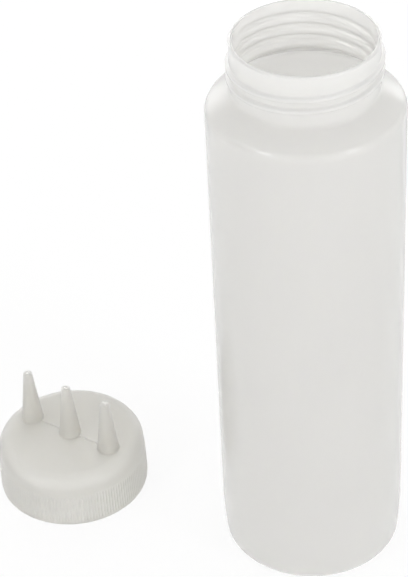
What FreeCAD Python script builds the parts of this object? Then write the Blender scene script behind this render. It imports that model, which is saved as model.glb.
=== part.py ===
"""Three-nozzle squeeze bottle with its screw lid off and lying beside it.

The origin is the centre of the bottle's flat foot, +Z is up, and the lid lies on the same surface.
The bottle is blow-moulded: its thread stands out of the neck and leaves a shallower groove inside.
The lid is injection-moulded: a ribbed skirt with the thread inside, a flat top, and three hollow
conical nozzles in one straight row, joined at their feet by a low web.
"""
import math
import os

import FreeCAD
import Part
import Sketcher

Z_AXIS = FreeCAD.Vector(0, 0, 1)
OVERRUN = 1.0  # how far a cut runs on past a face that it opens

# Millimetres, degrees and counts: every size of the model is worked out from these.
DRIVING = {
    # bottle
    "bottle_height": 249.0,
    "body_diameter": 78.0,
    "body_wall": 1.2,
    "foot_round": 2.8,
    "heel_inset": 1.2,
    "heel_height": 16.0,
    "heel_blend": 240.0,
    "shoulder_depth": 29.1,
    "shoulder_round": 5.0,
    "neck_depth": 21.4,
    "neck_foot_round": 3.0,
    "neck_diameter": 57.8,
    "neck_wall": 1.5,
    "lip_round": 1.0,
    "lip_inner_round": 0.4,
    # thread, shared by neck and lid
    "thread_pitch": 4.95,
    "neck_thread_height": 1.4,
    "neck_thread_foot": 3.0,
    "neck_thread_crest": 1.1,
    "neck_thread_depth": 18.0,
    "neck_thread_turns": 2.45,
    "neck_groove_depth": 0.9,
    "neck_groove_mouth": 2.4,
    "neck_groove_floor": 0.6,
    "thread_clearance": 0.4,
    "thread_overlap": 0.5,
    # lid
    "lid_height": 25.6,
    "lid_diameter": 67.2,
    "lid_taper": 0.65,
    "lid_top": 2.0,
    "lid_shoulder_round": 6.3,
    "lid_lead_in": 1.6,
    "lid_thread_foot": 1.9,
    "lid_thread_crest": 0.8,
    "lid_thread_start": 4.9,
    "lid_thread_turns": 2.2,
    "rib_count": 150,
    "rib_height": 0.35,
    "rib_width": 0.8,
    "rib_bottom": 1.2,
    "rib_top": 16.0,
    # nozzles
    "nozzle_count": 3,
    "nozzle_spacing": 20.8,
    "nozzle_height": 26.3,
    "nozzle_foot_diameter": 9.8,
    "nozzle_tip_diameter": 3.9,
    "nozzle_foot_round": 0.7,
    "nozzle_tip_round": 0.5,
    "nozzle_wall": 1.1,
    "nozzle_hole_diameter": 1.6,
    "nozzle_hole_length": 2.0,
    "web_width": 1.2,
    "web_height": 0.6,
    # where the lid lies
    "lid_place_x": -106.5,
    "lid_place_y": 37.0,
    "lid_turn": -34.0,
}


class Size:
    """A size as a number and as the expression over the sheet that gives the same number."""

    def __init__(self, value, text):
        self.value = value
        self.text = text

    def _join(self, other, sign, value):
        other_text = other.text if isinstance(other, Size) else str(other)
        return Size(value, f"({self.text} {sign} {other_text})")

    def __add__(self, other):
        return self._join(other, "+", self.value + number(other))

    def __sub__(self, other):
        return self._join(other, "-", self.value - number(other))

    def __mul__(self, other):
        return self._join(other, "*", self.value * number(other))

    def __truediv__(self, other):
        return self._join(other, "/", self.value / number(other))


def number(size):
    """Return the plain number of a Size or of a number."""
    return size.value if isinstance(size, Size) else size


def size(alias):
    """Return the driving size with this name."""
    return Size(DRIVING[alias], f"sizes.{alias}")


def make_sheet(doc):
    """Write the driving sizes into a sheet, one named cell each."""
    sheet = doc.addObject("Spreadsheet::Sheet", "sizes")
    for row, (alias, value) in enumerate(DRIVING.items(), start=1):
        sheet.set(f"A{row}", alias)
        sheet.set(f"B{row}", str(value))
        sheet.setAlias(f"B{row}", alias)
    doc.recompute()
    return sheet


def bind(feature, **sizes):
    """Tie properties of a feature to the sheet."""
    for name, value in sizes.items():
        feature.setExpression(name, value.text)


def new_sketch(body, name, role):
    """Return an empty sketch on one of the body's own origin planes."""
    sketch = body.newObject("Sketcher::SketchObject", name)
    plane = next(p for p in body.Origin.OriginFeatures if p.Role == role)
    sketch.AttachmentSupport = [(plane, "")]
    sketch.MapMode = "FlatFace"
    return sketch


class Corner:
    """A corner of an outline: its place across and up, and the radius that rounds it, if any."""

    def __init__(self, across, up, rounding=None):
        self.across = across
        self.up = up
        self.rounding = rounding

    @property
    def point(self):
        return FreeCAD.Vector(number(self.across), number(self.up), 0)

    def setback(self, before, after):
        """Return where the rounding leaves the two sides: two points and the arc's middle."""
        to_before = (before.point - self.point).normalize()
        to_after = (after.point - self.point).normalize()
        half_angle = to_before.getAngle(to_after) / 2
        radius = number(self.rounding)
        tangent = radius / math.tan(half_angle)
        bisector = (to_before + to_after).normalize()
        reach = radius / math.sin(half_angle) - radius
        points = to_before * tangent, to_after * tangent, bisector * reach
        return tuple(self.point + point for point in points)


def pin(sketch, geometry, vertex, corner):
    """Hold one point of a sketch at a corner's place."""
    for kind, place in (("DistanceX", corner.across), ("DistanceY", corner.up)):
        index = sketch.addConstraint(Sketcher.Constraint(kind, -1, 1, geometry, vertex, number(place)))
        if isinstance(place, Size):
            sketch.setExpression(f"Constraints[{index}]", place.text)


def draw_outline(sketch, corners):
    """Draw a closed outline through the corners, with tangent arcs where a corner is rounded."""
    count = len(corners)
    starts, ends, middles = {}, {}, {}
    for i, corner in enumerate(corners):
        if corner.rounding is None:
            ends[i] = starts[i] = corner.point
        else:
            ends[i], starts[i], middles[i] = corner.setback(corners[i - 1], corners[(i + 1) % count])
    lines = [sketch.addGeometry(Part.LineSegment(starts[i], ends[(i + 1) % count])) for i in range(count)]
    for i, corner in enumerate(corners):
        line_in, line_out = lines[i - 1], lines[i]
        if corner.rounding is None:
            sketch.addConstraint(Sketcher.Constraint("Coincident", line_in, 2, line_out, 1))
            pin(sketch, line_out, 1, corner)
            continue
        turns_left = (corner.point - ends[i]).cross(starts[i] - corner.point).z > 0
        first, last = (ends[i], starts[i]) if turns_left else (starts[i], ends[i])
        at_in, at_out = (1, 2) if turns_left else (2, 1)
        arc = sketch.addGeometry(Part.Arc(first, middles[i], last))
        sketch.addConstraint(Sketcher.Constraint("Tangent", line_in, 2, arc, at_in))
        sketch.addConstraint(Sketcher.Constraint("Tangent", arc, at_out, line_out, 1))
        radius = sketch.addConstraint(Sketcher.Constraint("Radius", arc, number(corner.rounding)))
        sketch.setExpression(f"Constraints[{radius}]", corner.rounding.text)
        apex = sketch.addGeometry(Part.Point(corner.point), True)
        sketch.addConstraint(Sketcher.Constraint("PointOnObject", apex, 1, line_in))
        sketch.addConstraint(Sketcher.Constraint("PointOnObject", apex, 1, line_out))
        pin(sketch, apex, 1, corner)
    return sketch


def revolve(body, name, kind, corners, axis_across=None):
    """Turn an outline round the upright axis, or round an upright line at axis_across."""
    sketch = draw_outline(new_sketch(body, f"{name}_outline", "XZ_Plane"), corners)
    feature = body.newObject(f"PartDesign::{kind}", name)
    feature.Profile = sketch
    if axis_across is None:
        feature.ReferenceAxis = (sketch, ["V_Axis"])
    else:
        foot = Corner(axis_across, 0)
        head = Corner(axis_across, 1)
        line = sketch.addGeometry(Part.LineSegment(foot.point, head.point), True)
        pin(sketch, line, 1, foot)
        pin(sketch, line, 2, head)
        feature.ReferenceAxis = (sketch, ["Axis0"])
    feature.Angle = 360
    return feature


def helix(body, name, kind, section, turns):
    """Sweep a section up a right-handed helix of the thread's pitch about the upright axis."""
    sketch = draw_outline(new_sketch(body, f"{name}_section", "XZ_Plane"), section)
    feature = body.newObject(f"PartDesign::{kind}", name)
    feature.Profile = sketch
    feature.ReferenceAxis = (sketch, ["V_Axis"])
    feature.Mode = "pitch-turns-angle"
    bind(feature, Pitch=size("thread_pitch"), Turns=turns)
    return feature


def thread_section(foot_across, crest_across, foot, crest, start):
    """Return the four corners of a thread's section, from its foot to its crest."""
    return [
        Corner(foot_across, start - foot / 2),
        Corner(crest_across, start - crest / 2),
        Corner(crest_across, start + crest / 2),
        Corner(foot_across, start + foot / 2),
    ]


def bottle_side(inset=0, neck_inset=0, shoulder_drop=0, floor=0):
    """Return the rounded corners up one face of the bottle's wall, from foot to neck."""
    height = size("bottle_height")
    shoulder = height - size("shoulder_depth") - shoulder_drop
    neck_foot = height - size("neck_depth")
    body_across = size("body_diameter") / 2 - inset
    neck_across = size("neck_diameter") / 2 - neck_inset
    return [
        Corner(body_across - size("heel_inset"), floor, size("foot_round") - inset / 2),
        Corner(body_across, size("heel_height"), size("heel_blend")),
        Corner(body_across, shoulder, size("shoulder_round") - inset),
        Corner(neck_across, neck_foot, size("neck_foot_round") + neck_inset),
    ]


def make_bottle(doc):
    """Make the open bottle, standing on its foot at the origin."""
    body = doc.addObject("PartDesign::Body", "bottle")
    wall = size("body_wall")
    height = size("bottle_height")
    neck_across = size("neck_diameter") / 2
    bore_across = neck_across - size("neck_wall")
    outer_side = bottle_side()
    inner_side = bottle_side(wall, size("neck_wall"), wall / 2, wall)
    lip = [
        Corner(neck_across, height, size("lip_round")),
        Corner(bore_across, height, size("lip_inner_round")),
    ]
    section = [Corner(0, 0)] + outer_side + lip + inner_side[::-1] + [Corner(0, wall)]
    revolve(body, "bottle_wall", "Revolution", section)
    start = height - size("neck_thread_depth")
    ridge = thread_section(neck_across - size("thread_overlap"), neck_across + size("neck_thread_height"),
                           size("neck_thread_foot"), size("neck_thread_crest"), start)
    helix(body, "neck_thread", "AdditiveHelix", ridge, size("neck_thread_turns"))
    hollow = thread_section(bore_across - size("thread_overlap"), bore_across + size("neck_groove_depth"),
                            size("neck_groove_mouth"), size("neck_groove_floor"), start)
    helix(body, "neck_thread_hollow", "SubtractiveHelix", hollow, size("neck_thread_turns"))
    return body


def make_lid(doc):
    """Make the lid lying on its open rim, with the nozzle row along its own X axis."""
    body = doc.addObject("PartDesign::Body", "lid")
    top = size("lid_height")
    ceiling = top - size("lid_top")
    skirt_across = size("lid_diameter") / 2 - size("rib_height")
    crest_across = size("neck_diameter") / 2 + size("neck_thread_height")
    bore_across = crest_across + size("thread_clearance")
    revolve(body, "lid_wall", "Revolution", [
        Corner(0, top),
        Corner(skirt_across - size("lid_taper"), top, size("lid_shoulder_round")),
        Corner(skirt_across, 0),
        Corner(bore_across + size("lid_lead_in"), 0),
        Corner(bore_across, size("lid_lead_in")),
        Corner(bore_across, ceiling, size("lid_shoulder_round") - size("lid_top")),
        Corner(0, ceiling),
    ])
    add_nozzles(body, top)
    bore_nozzles(body, top)
    thread = thread_section(bore_across + size("thread_overlap"),
                            size("neck_diameter") / 2 + size("thread_clearance"),
                            size("lid_thread_foot"), size("lid_thread_crest"), size("lid_thread_start"))
    helix(body, "lid_thread", "AdditiveHelix", thread, size("lid_thread_turns"))
    add_ribs(body, skirt_across)
    body.Placement = FreeCAD.Placement(FreeCAD.Vector(0, 0, 0), FreeCAD.Rotation(Z_AXIS, 0))
    body.setExpression("Placement.Base.x", "sizes.lid_place_x")
    body.setExpression("Placement.Base.y", "sizes.lid_place_y")
    body.setExpression("Placement.Rotation.Angle", "sizes.lid_turn")
    return body


def repeat(body, name, kind, originals, count, **settings):
    """Repeat features in a pattern and make it the body's latest shape."""
    pattern = body.newObject(f"PartDesign::{kind}", name)
    pattern.Originals = originals
    for key, value in settings.items():
        setattr(pattern, key, value)
    bind(pattern, Occurrences=count)
    body.Tip = pattern
    return pattern


def origin_axis(body, role):
    """Return one of the body's own axes, as a pattern's direction."""
    return (next(a for a in body.Origin.OriginFeatures if a.Role == role), [""])


def add_ribs(body, skirt_across):
    """Stand the fine grip ribs round the skirt, leaning with its taper."""
    sketch = new_sketch(body, "rib_section", "XY_Plane")
    bind(sketch, **{"AttachmentOffset.Base.z": size("rib_bottom")})
    root = skirt_across - size("thread_overlap")
    half = size("rib_width") / 2
    draw_outline(sketch, [
        Corner(root, half * -1),
        Corner(size("lid_diameter") / 2, 0),
        Corner(root, half),
    ])
    rib = body.newObject("PartDesign::Pad", "rib")
    rib.Profile = sketch
    rib.UseCustomVector = True
    rib.Direction = Z_AXIS
    rib.AlongSketchNormal = True
    bind(rib, **{
        "Length": size("rib_top") - size("rib_bottom"),
        "Direction.x": size("lid_taper") * -1 / size("lid_height"),
    })
    repeat(body, "ribs", "PolarPattern", [rib], size("rib_count"),
           Axis=origin_axis(body, "Z_Axis"), Angle=360)


def row_length():
    """Return how far apart the outermost nozzles stand."""
    return size("nozzle_spacing") * (size("nozzle_count") - 1)


def nozzle_row(body, name, feature):
    """Repeat a nozzle's feature along the row."""
    row = repeat(body, name, "LinearPattern", [feature], size("nozzle_count"),
                 Direction=origin_axis(body, "X_Axis"))
    bind(row, Length=row_length())


def add_nozzles(body, top):
    """Raise the web and the nozzle cones on the lid's top, with their feet sunk halfway into it."""
    sunk = top - size("lid_top") / 2
    first = row_length() / -2
    last = row_length() / 2
    half = size("web_width") / 2
    sketch = new_sketch(body, "web_section", "XY_Plane")
    bind(sketch, **{"AttachmentOffset.Base.z": sunk})
    draw_outline(sketch, [
        Corner(first, half * -1),
        Corner(last, half * -1),
        Corner(last, half),
        Corner(first, half),
    ])
    web = body.newObject("PartDesign::Pad", "web")
    web.Profile = sketch
    bind(web, Length=size("lid_top") / 2 + size("web_height"))
    tip = top + size("nozzle_height")
    foot_across = first - size("nozzle_foot_diameter") / 2
    flange_across = foot_across - size("nozzle_foot_round")
    tip_across = first - size("nozzle_tip_diameter") / 2
    cone = revolve(body, "nozzle", "Revolution", [
        Corner(first, sunk),
        Corner(first, tip),
        Corner(tip_across, tip, size("nozzle_tip_round")),
        Corner(foot_across, top, size("nozzle_foot_round")),
        Corner(flange_across, top),
        Corner(flange_across, sunk),
    ], axis_across=first)
    nozzle_row(body, "nozzles", cone)


def bore_nozzles(body, top):
    """Hollow the nozzles out, from the lid's inside up to the small hole in each tip."""
    first = row_length() / -2
    mouth = top - size("lid_top") - OVERRUN
    tip = top + size("nozzle_height")
    bore_across = first - size("nozzle_foot_diameter") / 2 + size("nozzle_wall")
    hole_across = first - size("nozzle_hole_diameter") / 2
    bore = revolve(body, "nozzle_bore", "Groove", [
        Corner(first, mouth),
        Corner(first, tip + OVERRUN),
        Corner(hole_across, tip + OVERRUN),
        Corner(hole_across, tip - size("nozzle_hole_length")),
        Corner(bore_across, top),
        Corner(bore_across, mouth),
    ], axis_across=first)
    nozzle_row(body, "nozzle_bores", bore)


def check(doc, nodes):
    """Stop if any object failed to rebuild or any node is not one valid solid."""
    for thing in doc.Objects:
        if "Invalid" in thing.State or "Error" in thing.State:
            raise RuntimeError(f"{thing.Name} did not rebuild: {thing.State}")
    for node in nodes:
        shape = node.Shape
        if shape.isNull() or not shape.isValid() or len(shape.Solids) != 1:
            raise RuntimeError(f"{node.Label} is not one valid solid")


def main():
    """Build the bottle and its lid and write one STEP file for each."""
    doc = FreeCAD.newDocument("squeeze_bottle")
    make_sheet(doc)
    nodes = [make_bottle(doc), make_lid(doc)]
    doc.recompute()
    check(doc, nodes)
    os.makedirs("parts", exist_ok=True)
    for node in nodes:
        node.Shape.exportStep(f"parts/{node.Label}.step")
        print(f"{node.Label}: {node.Shape.Volume / 1000:.1f} cm3")


main()
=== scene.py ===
import logging
from dataclasses import dataclass, field
from enum import Enum
from math import ceil, cos, pi, radians, sin, tan
from typing import ClassVar, Sequence

import bpy
from mathutils import Matrix, Vector


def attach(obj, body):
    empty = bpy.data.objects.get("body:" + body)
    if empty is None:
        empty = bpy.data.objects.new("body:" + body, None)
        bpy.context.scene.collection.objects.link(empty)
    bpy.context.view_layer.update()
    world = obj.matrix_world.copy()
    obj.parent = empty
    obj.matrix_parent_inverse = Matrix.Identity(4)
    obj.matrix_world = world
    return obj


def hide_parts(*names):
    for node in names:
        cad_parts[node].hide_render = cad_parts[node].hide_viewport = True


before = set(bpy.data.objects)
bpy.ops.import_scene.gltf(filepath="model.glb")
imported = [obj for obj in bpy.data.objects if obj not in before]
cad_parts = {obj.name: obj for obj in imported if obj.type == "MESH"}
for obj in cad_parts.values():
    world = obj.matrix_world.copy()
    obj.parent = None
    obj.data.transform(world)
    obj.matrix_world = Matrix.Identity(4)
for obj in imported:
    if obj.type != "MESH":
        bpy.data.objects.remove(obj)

log = logging.getLogger("squeeze_bottle")

MM = 0.001
ON_AXIS = 1e-7  # a ring nearer to the axis than this is a single point
NO_LENGTH = 1e-9  # a straight run shorter than this is left out
BOUNCES = 32  # light crosses many thin walls before it leaves the hollow pieces
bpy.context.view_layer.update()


class Relief(Enum):
    """The raised patterns of a wall, and the point attribute that says how far each stands out."""

    THREAD = "thread_rise"
    GRIP = "grip_rise"


class Merge(Enum):
    """The ways in which one closed piece changes another."""

    JOIN = "UNION"
    CUT = "DIFFERENCE"


@dataclass(frozen=True)
class Corner:
    """A corner of a half section, in metres from the axis and from the floor.

    Args:
        across: distance from the piece's axis.
        up: height above the floor.
        rounding: radius of the arc that rounds the corner, or nothing for a sharp one.
    """

    across: float
    up: float
    rounding: float = 0.0

    @property
    def point(self) -> Vector:
        """The corner as a point of the section plane."""
        return Vector((self.across, self.up))


@dataclass(frozen=True)
class Ring:
    """One ring of a turned wall.

    Args:
        across: distance from the piece's axis.
        up: height above the floor.
        rise: how far each relief moves the ring away from the axis.
    """

    across: float
    up: float
    rise: dict[Relief, float] = field(default_factory=dict)


@dataclass(frozen=True)
class Zone:
    """A stretch of a wall that is drawn finely because a relief runs over it.

    Args:
        relief: the pattern that the stretch carries.
        across: the wall's distance from the axis there.
        low: the stretch's lower end.
        high: the stretch's upper end.
        rise: how far the pattern moves the wall outwards, negative for inwards.
        step: the spacing of the rings.
        fade: the length over which the pattern starts and stops at the ends.
        reach: how far from `across` a ring may lie and still belong.
    """

    relief: Relief
    across: float
    low: float
    high: float
    rise: float
    step: float
    fade: float = 0.0
    reach: float = 0.8 * MM

    def holds(self, point: Vector) -> bool:
        """Tell whether a point of the section lies in the zone."""
        return abs(point.x - self.across) < self.reach and self.low <= point.y <= self.high

    def share(self, height: float) -> float:
        """Return how much of the pattern's rise a ring has.

        Args:
            height: the ring's height above the floor.

        Returns:
            A share from 0 to 1.
        """
        if self.fade <= 0:
            return 1.0
        return max(0.0, min(1.0, (height - self.low) / self.fade, (self.high - height) / self.fade))


class Outline:
    """A half section that turns round an upright axis into a wall."""

    ARC_STEP = radians(7)
    ARC_LONGEST = 24 * MM
    ARC_FEWEST = 3
    RUN_LONGEST = 12 * MM

    def __init__(self, corners: Sequence[Corner], zones: Sequence[Zone] = ()) -> None:
        """Keep the section's corners, in order round the solid, and its fine zones."""
        self.corners = list(corners)
        self.zones = list(zones)

    def rings(self) -> list[Ring]:
        """Return the section as rings, with arcs at the rounded corners.

        Returns:
            The rings in the corners' order, finely spaced where a zone needs it.
        """
        points: list[Vector] = []
        for index, corner in enumerate(self.corners):
            if corner.rounding > 0:
                points += self._arc(self.corners[index - 1], corner, self.corners[index + 1])
            else:
                points.append(corner.point)
        drawn = [points[0]]
        for point in points[1:]:
            drawn += self._run(drawn[-1], point)
        return [self._ring(point) for point in drawn]

    def _arc(self, before: Corner, corner: Corner, after: Corner) -> list[Vector]:
        """Return points along the arc that rounds a corner.

        Args:
            before: the corner that comes before.
            corner: the corner to round.
            after: the corner that comes after.

        Returns:
            The arc's points, from its start to its end.
        """
        to_before = (before.point - corner.point).normalized()
        to_after = (after.point - corner.point).normalized()
        half = to_before.angle(to_after) / 2
        start = corner.point + to_before * (corner.rounding / tan(half))
        end = corner.point + to_after * (corner.rounding / tan(half))
        centre = corner.point + (to_before + to_after).normalized() * (corner.rounding / sin(half))
        turn = pi - 2 * half
        length = corner.rounding * turn
        count = max(self.ARC_FEWEST, ceil(turn / self.ARC_STEP), ceil(length / self.ARC_LONGEST))
        first, last = start - centre, end - centre
        return [centre + _turned(first, last, step / count) for step in range(count + 1)]

    def _run(self, start: Vector, end: Vector) -> list[Vector]:
        """Return points along a straight run.

        Args:
            start: where the run begins.
            end: where it ends.

        Returns:
            The points after the start, closer together where a zone needs it.
        """
        length = (end - start).length
        if length < NO_LENGTH:
            return []
        middle = start.lerp(end, 0.5)
        fine = [zone for zone in self.zones if zone.holds(middle) or self._crosses(zone, start, end)]
        step = min([zone.step for zone in fine], default=self.RUN_LONGEST)
        count = max(1, ceil(length / step))
        return [start.lerp(end, index / count) for index in range(1, count + 1)]

    @staticmethod
    def _crosses(zone: Zone, start: Vector, end: Vector) -> bool:
        """Tell whether an upright run passes through a zone."""
        near = abs(start.x - zone.across) < zone.reach and abs(end.x - zone.across) < zone.reach
        return near and min(start.y, end.y) < zone.high and max(start.y, end.y) > zone.low

    def _ring(self, point: Vector) -> Ring:
        """Return a ring with the rise of each zone that holds it."""
        rise = {zone.relief: zone.rise * zone.share(point.y) for zone in self.zones if zone.holds(point)}
        return Ring(max(point.x, 0.0), point.y, rise)


def _turned(first: Vector, last: Vector, share: float) -> Vector:
    """Turn a spoke part of the way from the first to the last.

    Args:
        first: the spoke at the start of an arc.
        last: the spoke at its end.
        share: how much of the way to turn, from 0 to 1.

    Returns:
        The turned spoke.
    """
    angle = first.angle_signed(last) * -share
    across = first.x * cos(angle) - first.y * sin(angle)
    up = first.x * sin(angle) + first.y * cos(angle)
    return Vector((across, up))


def turned_mesh(name: str, rings: Sequence[Ring], columns: int) -> bpy.types.Mesh:
    """Turn rings round the upright axis into a mesh with outward faces.

    Args:
        name: the mesh's name.
        rings: the section, going round the solid with the solid on its left. A ring on the axis
            closes the mesh with one flat face.
        columns: how many points each ring has.

    Returns:
        The mesh, with one point attribute for each relief.
    """
    points: list[tuple[float, float, float]] = []
    rises: dict[Relief, list[float]] = {relief: [] for relief in Relief}
    rows: list[list[int]] = []
    for ring in rings:
        row = []
        for column in range(0 if ring.across < ON_AXIS else columns):
            angle = 2 * pi * column / columns
            row.append(len(points))
            points.append((ring.across * cos(angle), ring.across * sin(angle), ring.up))
            for relief in Relief:
                rises[relief].append(ring.rise.get(relief, 0.0))
        rows.append(row)
    faces: list[tuple[int, ...]] = []
    for lower, upper in zip(rows, rows[1:]):
        if lower and upper:
            for column in range(columns):
                after = (column + 1) % columns
                faces.append((lower[column], lower[after], upper[after], upper[column]))
        elif lower or upper:
            faces.append(tuple(lower or reversed(upper)))
    mesh = bpy.data.meshes.new(name)
    mesh.from_pydata(points, [], faces)
    for relief in Relief:
        attribute = mesh.attributes.new(relief.value, "FLOAT", "POINT")
        attribute.data.foreach_set("value", rises[relief])
    return mesh


def new_object(name: str, mesh: bpy.types.Mesh) -> bpy.types.Object:
    """Put a mesh into the scene.

    Args:
        name: the new object's name.
        mesh: the mesh that it shows.

    Returns:
        The new object.
    """
    made = bpy.data.objects.new(name, mesh)
    bpy.context.scene.collection.objects.link(made)
    return made


def settle(made: bpy.types.Object) -> bpy.types.Object:
    """Replace an object's mesh by what its modifiers make of it, and remove them.

    Args:
        made: the object with its modifiers.

    Returns:
        The same object.
    """
    graph = bpy.context.evaluated_depsgraph_get()
    made.data = bpy.data.meshes.new_from_object(made.evaluated_get(graph))
    made.modifiers.clear()
    return made


def merge(piece: bpy.types.Object, other: bpy.types.Object, how: Merge) -> None:
    """Join another closed piece to this one or cut it away, and discard the other.

    Args:
        piece: the piece that is changed.
        other: the piece that is joined to it or cut away.
        how: which of the two.
    """
    modifier = piece.modifiers.new(how.name.lower(), "BOOLEAN")
    modifier.operation = how.value
    modifier.solver = "EXACT"
    modifier.object = other
    settle(piece)
    bpy.data.objects.remove(other)


class NodeTree:
    """A geometry node tree under construction, with named inputs."""

    def __init__(self, name: str) -> None:
        """Start a tree with a geometry input and output.

        Args:
            name: the tree's name.
        """
        self.tree = bpy.data.node_groups.new(name, "GeometryNodeTree")
        self.tree.interface.new_socket("Geometry", in_out="INPUT", socket_type="NodeSocketGeometry")
        self.tree.interface.new_socket("Geometry", in_out="OUTPUT", socket_type="NodeSocketGeometry")
        self.source = self.tree.nodes.new("NodeGroupInput")
        self.sink = self.tree.nodes.new("NodeGroupOutput")
        self.identifiers: dict[str, str] = {}

    def value_input(self, name: str, kind: str = "NodeSocketFloat") -> bpy.types.NodeSocket:
        """Add a named input.

        Args:
            name: the input's name.
            kind: its type of socket.

        Returns:
            The socket that gives the input's value inside the tree.
        """
        socket = self.tree.interface.new_socket(name, in_out="INPUT", socket_type=kind)
        self.identifiers[name] = socket.identifier
        return self.source.outputs[name]

    def node(self, kind: str, **settings: object) -> bpy.types.Node:
        """Add a node and set its properties.

        Args:
            kind: the type of node.
            settings: the properties to set, by name.

        Returns:
            The new node.
        """
        made = self.tree.nodes.new(kind)
        for name, value in settings.items():
            setattr(made, name, value)
        return made

    def link(self, start: bpy.types.NodeSocket, end: bpy.types.NodeSocket) -> None:
        """Join two sockets."""
        self.tree.links.new(start, end)

    def math(self, operation: str, *terms: object) -> bpy.types.NodeSocket:
        """Work out one sum.

        Args:
            operation: the kind of sum.
            terms: its sockets or numbers, in order.

        Returns:
            The socket with the result.
        """
        made = self.node("ShaderNodeMath", operation=operation)
        for socket, term in zip(made.inputs, terms):
            if isinstance(term, bpy.types.NodeSocket):
                self.link(term, socket)
            else:
                socket.default_value = term
        return made.outputs[0]

    def smooth_step(self, value: object, low: object, high: object) -> bpy.types.NodeSocket:
        """Make a smooth rise from 0 to 1.

        Args:
            value: the socket that the rise follows.
            low: the value up to which the result is 0.
            high: the value from which it is 1.

        Returns:
            The socket with the result.
        """
        made = self.node("ShaderNodeMapRange", interpolation_type="SMOOTHSTEP")
        for index, term in enumerate((value, low, high)):
            if isinstance(term, bpy.types.NodeSocket):
                self.link(term, made.inputs[index])
            else:
                made.inputs[index].default_value = term
        return made.outputs[0]

    def attribute(self, name: str) -> bpy.types.NodeSocket:
        """Read a point attribute of the geometry.

        Args:
            name: the attribute's name.

        Returns:
            The socket with its value.
        """
        made = self.node("GeometryNodeInputNamedAttribute", data_type="FLOAT")
        made.inputs["Name"].default_value = name
        return made.outputs["Attribute"]

    def finish(self, geometry: bpy.types.NodeSocket, material: bpy.types.NodeSocket) -> None:
        """End the tree in real geometry with its material.

        Args:
            geometry: the socket with the finished shape.
            material: the socket with its material.
        """
        realize = self.node("GeometryNodeRealizeInstances")
        dress = self.node("GeometryNodeSetMaterial")
        self.link(geometry, realize.inputs["Geometry"])
        self.link(realize.outputs["Geometry"], dress.inputs["Geometry"])
        self.link(material, dress.inputs["Material"])
        self.link(dress.outputs["Geometry"], self.sink.inputs["Geometry"])

    def apply(self, made: bpy.types.Object, values: dict[str, object]) -> bpy.types.Object:
        """Run the tree on an object and keep the result as its mesh.

        Args:
            made: the object.
            values: the inputs' values, by name.

        Returns:
            The same object.
        """
        modifier = made.modifiers.new(self.tree.name, "NODES")
        modifier.node_group = self.tree
        for name, value in values.items():
            modifier[self.identifiers[name]] = value
        return settle(made)


class WallRelief:
    """Raises a helical thread and upright grip ribs on a turned wall.

    A rib's flank starts and ends at a share of the ribs' spacing, counted from the valley's middle.
    """

    FLANK_START = 0.02
    FLANK_END = 0.3

    def __init__(self) -> None:
        """Build the tree once for every wall that uses it."""
        net = NodeTree("wall relief")
        self.net = net
        pitch = net.value_input("Pitch")
        start = net.value_input("Start Height")
        turns = net.value_input("Turns")
        lead = net.value_input("Run Out Turns")
        crest = net.value_input("Crest Half Width")
        foot = net.value_input("Foot Half Width")
        ribs = net.value_input("Rib Count")
        material = net.value_input("Material", "NodeSocketMaterial")
        place = net.node("ShaderNodeSeparateXYZ")
        net.link(net.node("GeometryNodeInputPosition").outputs[0], place.inputs[0])
        x, y, z = place.outputs
        phase = net.math("FRACT", net.math("DIVIDE", net.math("ARCTAN2", y, x), 2 * pi))
        level = net.math("SUBTRACT", net.math("DIVIDE", net.math("SUBTRACT", z, start), pitch), phase)
        lap = net.math("ROUND", level)
        progress = net.math("ADD", lap, phase)
        off = net.math("MULTIPLY", net.math("ABSOLUTE", net.math("SUBTRACT", level, lap)), pitch)
        ridge = net.math("SUBTRACT", 1.0, net.smooth_step(off, crest, foot))
        begins = net.smooth_step(progress, 0.0, lead)
        ends = net.smooth_step(net.math("SUBTRACT", turns, progress), 0.0, lead)
        thread = net.math("MULTIPLY", net.math("MULTIPLY", ridge, begins), ends)
        thread = net.math("MULTIPLY", thread, net.attribute(Relief.THREAD.value))
        tooth = net.math("PINGPONG", net.math("MULTIPLY", phase, ribs), 0.5)
        rib = net.smooth_step(tooth, self.FLANK_START, self.FLANK_END)
        grip = net.math("MULTIPLY", rib, net.attribute(Relief.GRIP.value))
        rise = net.math("ADD", thread, grip)
        square = net.math("ADD", net.math("MULTIPLY", x, x), net.math("MULTIPLY", y, y))
        scale = net.math("DIVIDE", rise, net.math("SQRT", square))
        offset = net.node("ShaderNodeCombineXYZ")
        net.link(net.math("MULTIPLY", x, scale), offset.inputs[0])
        net.link(net.math("MULTIPLY", y, scale), offset.inputs[1])
        move = net.node("GeometryNodeSetPosition")
        net.link(net.source.outputs["Geometry"], move.inputs["Geometry"])
        net.link(offset.outputs[0], move.inputs["Offset"])
        net.finish(move.outputs["Geometry"], material)


@dataclass(frozen=True)
class Thread:
    """A right-handed screw thread as a wall carries it.

    Args:
        start: height of the crest where the thread begins.
        turns: how many times it goes round.
        crest: width of the crest.
        foot: width of the foot.
        pitch: rise for each turn, the same on the neck and in the lid.
        run_out: turns over which each end sinks into the wall.
    """

    start: float
    turns: float
    crest: float
    foot: float
    pitch: float = 4.95 * MM
    run_out: float = 0.12

    def inputs(self, ribs: int, material: bpy.types.Material) -> dict[str, object]:
        """Return the relief tree's inputs for a wall with this thread.

        Args:
            ribs: how many grip ribs the wall has.
            material: the wall's material.

        Returns:
            The values by the inputs' names.
        """
        return {
            "Pitch": self.pitch,
            "Start Height": self.start,
            "Turns": self.turns,
            "Run Out Turns": self.run_out,
            "Crest Half Width": self.crest / 2,
            "Foot Half Width": self.foot / 2,
            "Rib Count": float(ribs),
            "Material": material,
        }


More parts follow.
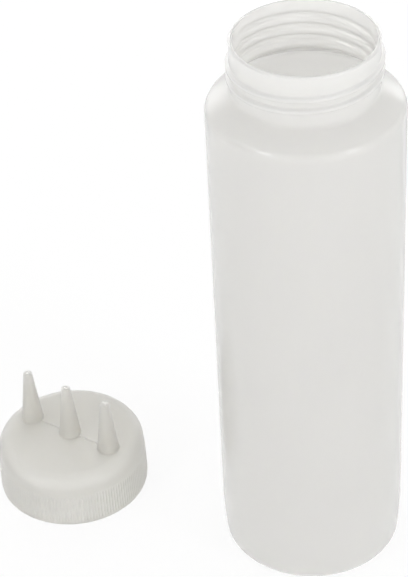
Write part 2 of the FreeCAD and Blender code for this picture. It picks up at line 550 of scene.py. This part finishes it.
class Row:
    """Repeats a piece along a straight row."""

    def __init__(self) -> None:
        """Build the tree that stands copies on the points of a line."""
        net = NodeTree("row")
        self.net = net
        count = net.value_input("Count", "NodeSocketInt")
        spacing = net.value_input("Spacing")
        material = net.value_input("Material", "NodeSocketMaterial")
        line = net.node("GeometryNodeMeshLine", mode="OFFSET")
        step = net.node("ShaderNodeCombineXYZ")
        start = net.node("ShaderNodeCombineXYZ")
        gaps = net.math("SUBTRACT", count, 1.0)
        net.link(count, line.inputs["Count"])
        net.link(spacing, step.inputs[0])
        net.link(net.math("MULTIPLY", net.math("MULTIPLY", gaps, spacing), -0.5), start.inputs[0])
        net.link(step.outputs[0], line.inputs["Offset"])
        net.link(start.outputs[0], line.inputs["Start Location"])
        stand = net.node("GeometryNodeInstanceOnPoints")
        net.link(line.outputs["Mesh"], stand.inputs["Points"])
        net.link(net.source.outputs["Geometry"], stand.inputs["Instance"])
        net.finish(stand.outputs["Instances"], material)


@dataclass(frozen=True)
class MilkyPlastic:
    """Natural low-density polyethylene: milky, softly translucent, with a satin skin.

    Args:
        name: the material's name.
        colour: linear colour of thick plastic.
        shade: linear colour of the faint darker clouding.
        roughness: roughness of the satin skin.
        scatter: how far light wanders inside, in metres.
        cloud_size: size of the clouding, in metres.
        clearness: share of the light that goes straight through instead of wandering.
        skin_depth: depth of the fine uneven skin, in metres.
        centre: the place that the piece's own pattern is centred on.
    """

    IOR: ClassVar[float] = 1.51
    GLOSS_SPREAD: ClassVar[float] = 0.04
    CLOUD_DETAIL: ClassVar[float] = 3.0
    SKIN_DETAIL: ClassVar[float] = 2.0
    SKIN_SIZE: ClassVar[float] = 2.5 * MM
    NOISE_ROUGHNESS: ClassVar[float] = 0.5

    name: str
    colour: tuple[float, float, float]
    shade: tuple[float, float, float]
    roughness: float
    scatter: float
    cloud_size: float
    clearness: float = 0.47
    skin_depth: float = 0.01 * MM
    centre: tuple[float, float, float] = (0.0, 0.0, 0.0)

    def material(self) -> bpy.types.Material:
        """Build the material.

        Returns:
            A material with clouded colour, uneven gloss and a fine skin, all on object coordinates.
        """
        made = bpy.data.materials.new(self.name)
        made.use_nodes = True
        nodes, links = made.node_tree.nodes, made.node_tree.links
        shader = nodes["Principled BSDF"]
        shader.inputs["Subsurface Weight"].default_value = 1.0
        shader.inputs["Subsurface Radius"].default_value = (1.0, 1.0, 1.0)
        shader.inputs["Subsurface Scale"].default_value = self.scatter
        shader.inputs["Transmission Weight"].default_value = self.clearness
        shader.inputs["IOR"].default_value = self.IOR
        place = nodes.new("ShaderNodeTexCoord")
        mapping = nodes.new("ShaderNodeMapping")
        mapping.inputs["Location"].default_value = [-value for value in self.centre]
        links.new(place.outputs["Object"], mapping.inputs["Vector"])
        cloud = self._noise(nodes, links, mapping, self.cloud_size, self.CLOUD_DETAIL)
        colour = nodes.new("ShaderNodeMix")
        colour.data_type = "RGBA"
        colour.inputs["A"].default_value = (*self.shade, 1.0)
        colour.inputs["B"].default_value = (*self.colour, 1.0)
        links.new(cloud, colour.inputs["Factor"])
        links.new(colour.outputs["Result"], shader.inputs["Base Color"])
        gloss = nodes.new("ShaderNodeMapRange")
        gloss.inputs["To Min"].default_value = self.roughness - self.GLOSS_SPREAD
        gloss.inputs["To Max"].default_value = self.roughness + self.GLOSS_SPREAD
        links.new(cloud, gloss.inputs["Value"])
        links.new(gloss.outputs["Result"], shader.inputs["Roughness"])
        skin = self._noise(nodes, links, mapping, self.SKIN_SIZE, self.SKIN_DETAIL)
        bump = nodes.new("ShaderNodeBump")
        bump.inputs["Strength"].default_value = 1.0
        bump.inputs["Distance"].default_value = self.skin_depth
        links.new(skin, bump.inputs["Height"])
        links.new(bump.outputs["Normal"], shader.inputs["Normal"])
        return made

    def _noise(self, nodes: bpy.types.Nodes, links: bpy.types.NodeLinks, mapping: bpy.types.Node,
               size: float, detail: float) -> bpy.types.NodeSocket:
        """Add a soft noise pattern.

        Args:
            nodes: the material's nodes.
            links: the material's links.
            mapping: the node that gives the place.
            size: size of the pattern's patches, in metres.
            detail: how many finer layers it has.

        Returns:
            The socket with the pattern, from 0 to 1.
        """
        noise = nodes.new("ShaderNodeTexNoise")
        noise.inputs["Scale"].default_value = 1 / size
        noise.inputs["Detail"].default_value = detail
        noise.inputs["Roughness"].default_value = self.NOISE_ROUGHNESS
        links.new(mapping.outputs["Vector"], noise.inputs["Vector"])
        return noise.outputs["Fac"]


@dataclass
class Bottle:
    """The open blow-moulded bottle, standing with the centre of its foot at the origin."""

    finish: MilkyPlastic
    body_across: float = 39.0 * MM
    height: float = 249.0 * MM
    wall: float = 1.2 * MM
    foot_round: float = 2.8 * MM
    heel_inset: float = 1.2 * MM
    heel_height: float = 16.0 * MM
    heel_blend: float = 240.0 * MM  # radius of the long curve between heel and body
    shoulder_height: float = 219.9 * MM
    shoulder_round: float = 5.0 * MM
    neck_foot_height: float = 227.6 * MM
    neck_foot_round: float = 3.0 * MM
    neck_across: float = 28.9 * MM
    neck_wall: float = 1.5 * MM
    lip_round: float = 1.0 * MM
    lip_inner_round: float = 0.4 * MM
    thread_rise: float = 1.4 * MM
    groove_rise: float = 0.15 * MM  # the thread's faint trace inside the neck
    thread: Thread = Thread(start=231.0 * MM, turns=2.45, crest=1.0 * MM, foot=3.2 * MM)
    fine_step: float = 0.28 * MM  # spacing of the rings where the thread is
    columns: int = 192

    def _side(self, inset: float, neck_inset: float, drop: float, floor: float) -> list[Corner]:
        """Return the corners up one face of the wall, from foot to neck.

        Args:
            inset: how far the face lies inside the body's outer face.
            neck_inset: how far it lies inside the neck's outer face.
            drop: how far its shoulder lies below the outer one.
            floor: height of the face's foot.

        Returns:
            The corners from the bottom up.
        """
        across = self.body_across - inset
        neck_across = self.neck_across - neck_inset
        return [
            Corner(across - self.heel_inset, floor, self.foot_round - inset / 2),
            Corner(across, self.heel_height, self.heel_blend),
            Corner(across, self.shoulder_height - drop, self.shoulder_round - inset),
            Corner(neck_across, self.neck_foot_height, self.neck_foot_round + neck_inset),
        ]

    def _outline(self) -> Outline:
        """Return the wall's section.

        Returns:
            The outline up the outside, over the lip and down the inside.
        """
        bore = self.neck_across - self.neck_wall
        low = self.neck_foot_height
        outside = self._side(0.0, 0.0, 0.0, 0.0)
        inside = self._side(self.wall, self.neck_wall, self.wall / 2, self.wall)
        lip = [
            Corner(self.neck_across, self.height, self.lip_round),
            Corner(bore, self.height, self.lip_inner_round),
        ]
        zones = [
            Zone(Relief.THREAD, self.neck_across, low, self.height, self.thread_rise, self.fine_step),
            Zone(Relief.THREAD, bore, low, self.height, self.groove_rise, self.fine_step),
        ]
        corners = [Corner(0.0, 0.0), *outside, *lip, *reversed(inside), Corner(0.0, self.wall)]
        return Outline(corners, zones)

    def build(self, relief: WallRelief) -> bpy.types.Object:
        """Build the bottle's one piece.

        Args:
            relief: the tree that raises the thread.

        Returns:
            The finished bottle.
        """
        rings = self._outline().rings()
        bottle = new_object("bottle_wall", turned_mesh("bottle_wall", rings, self.columns))
        material = self.finish.material()
        relief.net.apply(bottle, self.thread.inputs(0, material))
        bottle.data.shade_smooth()
        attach(bottle, "root")
        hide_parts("bottle")
        log.info("bottle: %d faces", len(bottle.data.polygons))
        return bottle


@dataclass
class Nozzle:
    """One hollow conical nozzle of the lid's row."""

    height: float = 26.3 * MM
    foot_across: float = 4.9 * MM
    tip_across: float = 1.95 * MM
    foot_round: float = 0.7 * MM
    tip_round: float = 0.5 * MM
    wall: float = 1.1 * MM
    hole_across: float = 0.8 * MM
    hole_length: float = 2.0 * MM
    sink: float = 0.03 * MM  # keeps the foot's flat edge out of the plane of the lid's top
    overrun: float = 1.0 * MM  # how far the bore's cut runs on past the tip
    columns: int = 56

    def outside(self, deck: float, depth: float) -> bpy.types.Mesh:
        """Return the closed outer cone, sunk into the lid's top.

        Args:
            deck: height of the lid's top.
            depth: how far the cone goes below it.

        Returns:
            The mesh, on its own axis.
        """
        flange = self.foot_across + self.foot_round
        seat = deck - self.sink
        corners = [
            Corner(0.0, deck - depth),
            Corner(flange, deck - depth),
            Corner(flange, seat),
            Corner(self.foot_across, seat, self.foot_round),
            Corner(self.tip_across, deck + self.height, self.tip_round),
            Corner(0.0, deck + self.height),
        ]
        return turned_mesh("nozzle_outside", Outline(corners).rings(), self.columns)

    def inside(self, deck: float, depth: float) -> bpy.types.Mesh:
        """Return the closed space inside the nozzle, running on past the tip.

        Args:
            deck: height of the lid's top.
            depth: how far the space goes below it.

        Returns:
            The mesh, on its own axis.
        """
        bore = self.foot_across - self.wall
        tip = deck + self.height
        corners = [
            Corner(0.0, deck - depth),
            Corner(bore, deck - depth),
            Corner(bore, deck),
            Corner(self.hole_across, tip - self.hole_length),
            Corner(self.hole_across, tip + self.overrun),
            Corner(0.0, tip + self.overrun),
        ]
        return turned_mesh("nozzle_inside", Outline(corners).rings(), self.columns)


@dataclass
class Lid:
    """The screw lid, lying on its open rim beside the bottle."""

    FLAT_WEIGHT: ClassVar[int] = 100  # large faces count for as much as they can in the shading

    finish: MilkyPlastic
    centre: tuple[float, float] = (-106.5 * MM, 37.0 * MM)
    turn: float = radians(-34.0)
    height: float = 25.6 * MM
    across: float = 33.6 * MM
    taper: float = 0.65 * MM
    top: float = 2.0 * MM
    shoulder_round: float = 6.3 * MM
    lead_in: float = 1.6 * MM
    bore: float = 30.7 * MM
    thread_rise: float = -1.4 * MM
    thread: Thread = Thread(start=4.9 * MM, turns=2.2, crest=0.7 * MM, foot=2.2 * MM)
    ribs: int = 150
    rib_rise: float = 0.26 * MM
    rib_low: float = 1.2 * MM
    rib_high: float = 16.0 * MM
    rib_step: float = 0.6 * MM  # spacing of the rings where the ribs are
    rib_fade: float = 0.6 * MM  # length over which a rib starts and stops
    rim_round: float = 0.25 * MM
    sharp_angle: float = radians(35)
    fine_step: float = 0.35 * MM  # spacing of the rings where the thread is
    nozzle: Nozzle = field(default_factory=Nozzle)
    nozzle_count: int = 3
    nozzle_spacing: float = 20.8 * MM
    web_width: float = 1.2 * MM
    web_height: float = 0.6 * MM
    web_steps: int = 8  # flats round the web's arched top
    columns_per_rib: int = 4

    def _outline(self) -> Outline:
        """Return the wall's section.

        Returns:
            The outline down the inside, across the rim, up the ribbed skirt and in over the top.
        """
        skirt = self.across - self.rib_rise
        rib_middle = (self.rib_low + self.rib_high) / 2
        ribbed = skirt - self.taper * rib_middle / self.height
        deck = self.height
        ceiling = deck - self.top
        corners = [
            Corner(0.0, ceiling),
            Corner(self.bore, ceiling, self.shoulder_round - self.top),
            Corner(self.bore, self.lead_in),
            Corner(self.bore + self.lead_in, 0.0),
            Corner(skirt, 0.0, self.rim_round),
            Corner(skirt - self.taper, deck, self.shoulder_round),
            Corner(0.0, deck),
        ]
        zones = [
            Zone(Relief.THREAD, self.bore, self.lead_in, ceiling, self.thread_rise, self.fine_step),
            Zone(Relief.GRIP, ribbed, self.rib_low, self.rib_high, self.rib_rise, self.rib_step,
                 fade=self.rib_fade),
        ]
        return Outline(corners, zones)

    @property
    def seat_depth(self) -> float:
        """How far the web and the cones reach into the lid's top, which is halfway."""
        return self.top / 2

    def _web(self) -> bpy.types.Mesh:
        """Return the low rounded web that joins the nozzles' feet.

        Returns:
            The mesh of a straight bar with an arched top, as long as the row.
        """
        reach = self.nozzle_spacing * (self.nozzle_count - 1) / 2
        half = self.web_width / 2
        angles = [pi * step / self.web_steps for step in range(self.web_steps + 1)]
        arch = [(half * cos(angle), self.web_height * sin(angle)) for angle in angles]
        arch = [(half, -self.seat_depth), *arch, (-half, -self.seat_depth)]
        points = [(x, y, self.height + z) for x in (-reach, reach) for y, z in arch]
        count = len(arch)
        sides = [(i, i + count, (i + 1) % count + count, (i + 1) % count) for i in range(count)]
        ends = [tuple(range(count)), tuple(range(2 * count - 1, count - 1, -1))]
        mesh = bpy.data.meshes.new("web")
        mesh.from_pydata(points, [], sides + ends)
        return mesh

    def _row(self, row: Row, mesh: bpy.types.Mesh, material: bpy.types.Material) -> bpy.types.Object:
        """Return the nozzle row made of copies of one mesh."""
        values = {"Count": self.nozzle_count, "Spacing": self.nozzle_spacing, "Material": material}
        return row.net.apply(new_object(mesh.name, mesh), values)

    def build(self, relief: WallRelief, row: Row) -> bpy.types.Object:
        """Build the lid's one piece.

        Args:
            relief: the tree that raises the thread and the ribs.
            row: the tree that repeats the nozzle.

        Returns:
            The finished lid.
        """
        material = self.finish.material()
        rings = self._outline().rings()
        lid = new_object("lid_wall", turned_mesh("lid_wall", rings, self.ribs * self.columns_per_rib))
        relief.net.apply(lid, self.thread.inputs(self.ribs, material))
        merge(lid, new_object("web", self._web()), Merge.JOIN)
        cones = self.nozzle.outside(self.height, self.seat_depth)
        merge(lid, self._row(row, cones, material), Merge.JOIN)
        bores = self.nozzle.inside(self.height, self.top + self.seat_depth)
        merge(lid, self._row(row, bores, material), Merge.CUT)
        lid.data.transform(Matrix.Translation((*self.centre, 0.0)) @ Matrix.Rotation(self.turn, 4, "Z"))
        lid.data.materials.clear()
        lid.data.materials.append(material)
        lid.data.set_sharp_from_angle(angle=self.sharp_angle)
        lid.data.shade_smooth()
        normals = lid.modifiers.new("weighted_normals", "WEIGHTED_NORMAL")
        normals.weight = self.FLAT_WEIGHT
        normals.keep_sharp = True
        settle(lid)
        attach(lid, "root")
        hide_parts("lid")
        log.info("lid: %d faces", len(lid.data.polygons))
        return lid


@dataclass(frozen=True)
class Lamp:
    """A square soft lamp.

    Args:
        name: the lamp's name.
        place: where it hangs, in metres.
        size: the length of its sides, in metres.
        power: its power in watts.
        aim: the point that it faces, about the middle of the bottle.
    """

    name: str
    place: tuple[float, float, float]
    size: float
    power: float
    aim: tuple[float, float, float] = (0.0, 0.0, 0.12)

    def build(self) -> bpy.types.Object:
        """Hang the lamp.

        Returns:
            The lamp's object.
        """
        light = bpy.data.lights.new(self.name, "AREA")
        light.shape = "SQUARE"
        light.size = self.size
        light.energy = self.power
        made = bpy.data.objects.new(self.name, light)
        bpy.context.scene.collection.objects.link(made)
        made.location = self.place
        made.rotation_euler = (Vector(self.aim) - Vector(self.place)).to_track_quat("-Z", "Y").to_euler()
        return made


@dataclass
class Studio:
    """The pale floor, the even surrounding light, the soft lamps and the camera."""

    floor_size: float = 6.0
    floor_colour: tuple[float, float, float] = (0.9, 0.9, 0.9)
    floor_glow: float = 0.86
    surround_low: float = 1.42
    surround_high: float = 0.6
    lamps: tuple[Lamp, ...] = (
        Lamp("left lamp", place=(-1.0, -0.8, 0.95), size=0.3, power=3.2),
        Lamp("right lamp", place=(1.0, -0.85, 0.95), size=0.3, power=3.8),
        Lamp("back left lamp", place=(-0.6, 1.2, 0.5), size=0.8, power=2.7),
        Lamp("back right lamp", place=(0.6, 1.2, 0.5), size=0.8, power=2.7),
        Lamp("low lamp", place=(0.6, -1.2, 0.3), size=0.6, power=0.8),
    )
    camera_place: tuple[float, float, float] = (-0.04266, -0.68693, 0.66832)
    camera_pitch: float = radians(37.96)
    camera_roll: float = radians(-3.11)
    lens: float = 133.41
    sensor: float = 36.0
    nearest: float = 0.05
    furthest: float = 20.0

    def build(self) -> None:
        """Build the floor, the light and the camera."""
        self._floor()
        self._world()
        for lamp in self.lamps:
            lamp.build()
        self._camera()

    def _floor(self) -> None:
        """Lay the pale floor, which shows nearly white to the camera and keeps a soft shadow."""
        half = self.floor_size / 2
        mesh = bpy.data.meshes.new("floor")
        corners = [(-half, -half, 0), (half, -half, 0), (half, half, 0), (-half, half, 0)]
        mesh.from_pydata(corners, [], [(0, 1, 2, 3)])
        material = bpy.data.materials.new("pale floor")
        material.use_nodes = True
        nodes, links = material.node_tree.nodes, material.node_tree.links
        nodes.clear()
        matt = nodes.new("ShaderNodeBsdfDiffuse")
        matt.inputs["Color"].default_value = (*self.floor_colour, 1.0)
        glow = nodes.new("ShaderNodeEmission")
        blend = nodes.new("ShaderNodeMixShader")
        share = nodes.new("ShaderNodeMath")
        share.operation = "MULTIPLY"
        share.inputs[1].default_value = self.floor_glow
        links.new(_seen_ray(nodes, links), share.inputs[0])
        links.new(share.outputs[0], blend.inputs["Fac"])
        links.new(matt.outputs[0], blend.inputs[1])
        links.new(glow.outputs[0], blend.inputs[2])
        output = nodes.new("ShaderNodeOutputMaterial")
        links.new(blend.outputs[0], output.inputs["Surface"])
        mesh.materials.append(material)
        new_object("floor", mesh)

    def _world(self) -> None:
        """Surround the object with white light, softer from above, and full white where it is seen."""
        world = bpy.data.worlds.new("surround")
        world.use_nodes = True
        bpy.context.scene.world = world
        nodes, links = world.node_tree.nodes, world.node_tree.links
        background = nodes["Background"]
        background.inputs["Color"].default_value = (1.0, 1.0, 1.0, 1.0)
        direction = nodes.new("ShaderNodeTexCoord")
        split = nodes.new("ShaderNodeSeparateXYZ")
        links.new(direction.outputs["Generated"], split.inputs[0])
        height = nodes.new("ShaderNodeMapRange")
        height.inputs["To Min"].default_value = self.surround_low
        height.inputs["To Max"].default_value = self.surround_high
        links.new(split.outputs["Z"], height.inputs["Value"])
        level = nodes.new("ShaderNodeMix")
        level.inputs["B"].default_value = 1.0
        links.new(_seen_ray(nodes, links), level.inputs["Factor"])
        links.new(height.outputs["Result"], level.inputs["A"])
        links.new(level.outputs["Result"], background.inputs["Strength"])

    def _camera(self) -> None:
        """Place the camera, looking down at the pair from the front."""
        camera = bpy.data.objects.new("camera", bpy.data.cameras.new("camera"))
        bpy.context.scene.collection.objects.link(camera)
        camera.data.lens = self.lens
        camera.data.sensor_width = self.sensor
        camera.data.clip_start = self.nearest
        camera.data.clip_end = self.furthest
        tilt = Matrix.Rotation(pi / 2 - self.camera_pitch, 4, "X")
        roll = Matrix.Rotation(self.camera_roll, 4, "Z")
        camera.matrix_world = Matrix.Translation(self.camera_place) @ tilt @ roll
        bpy.context.scene.camera = camera


def _seen_ray(nodes: bpy.types.Nodes, links: bpy.types.NodeLinks) -> bpy.types.NodeSocket:
    """Tell rays that look at a surface from those that light it.

    Args:
        nodes: the nodes of the material or the world.
        links: its links.

    Returns:
        The socket that is 1 on rays from the camera, off gloss or through clear plastic.
    """
    path = nodes.new("ShaderNodeLightPath")
    seen = path.outputs["Is Camera Ray"]
    for kind in ("Is Glossy Ray", "Is Transmission Ray"):
        either = nodes.new("ShaderNodeMath")
        either.operation = "MAXIMUM"
        links.new(seen, either.inputs[0])
        links.new(path.outputs[kind], either.inputs[1])
        seen = either.outputs[0]
    return seen


def main() -> None:
    """Build the bottle, its lid and the studio."""
    logging.basicConfig(level=logging.INFO, format="%(message)s")
    bottle_plastic = MilkyPlastic(
        "bottle plastic",
        colour=(0.96, 0.95, 0.92),
        shade=(0.95, 0.94, 0.91),
        roughness=0.17,
        scatter=5.0 * MM,
        cloud_size=60.0 * MM,
    )
    lid_plastic = MilkyPlastic(
        "lid plastic",
        colour=(0.95, 0.937, 0.895),
        shade=(0.93, 0.917, 0.875),
        roughness=0.4,
        scatter=20.0 * MM,
        cloud_size=30.0 * MM,
        centre=(*Lid.centre, 0.0),
    )
    relief = WallRelief()
    Bottle(bottle_plastic).build(relief)
    Lid(lid_plastic).build(relief, Row())
    Studio().build()
    bpy.context.scene.view_settings.view_transform = "Standard"
    cycles = bpy.context.scene.cycles
    cycles.max_bounces = BOUNCES
    cycles.diffuse_bounces = BOUNCES
    cycles.transmission_bounces = BOUNCES


if __name__ == "__main__":
    main()
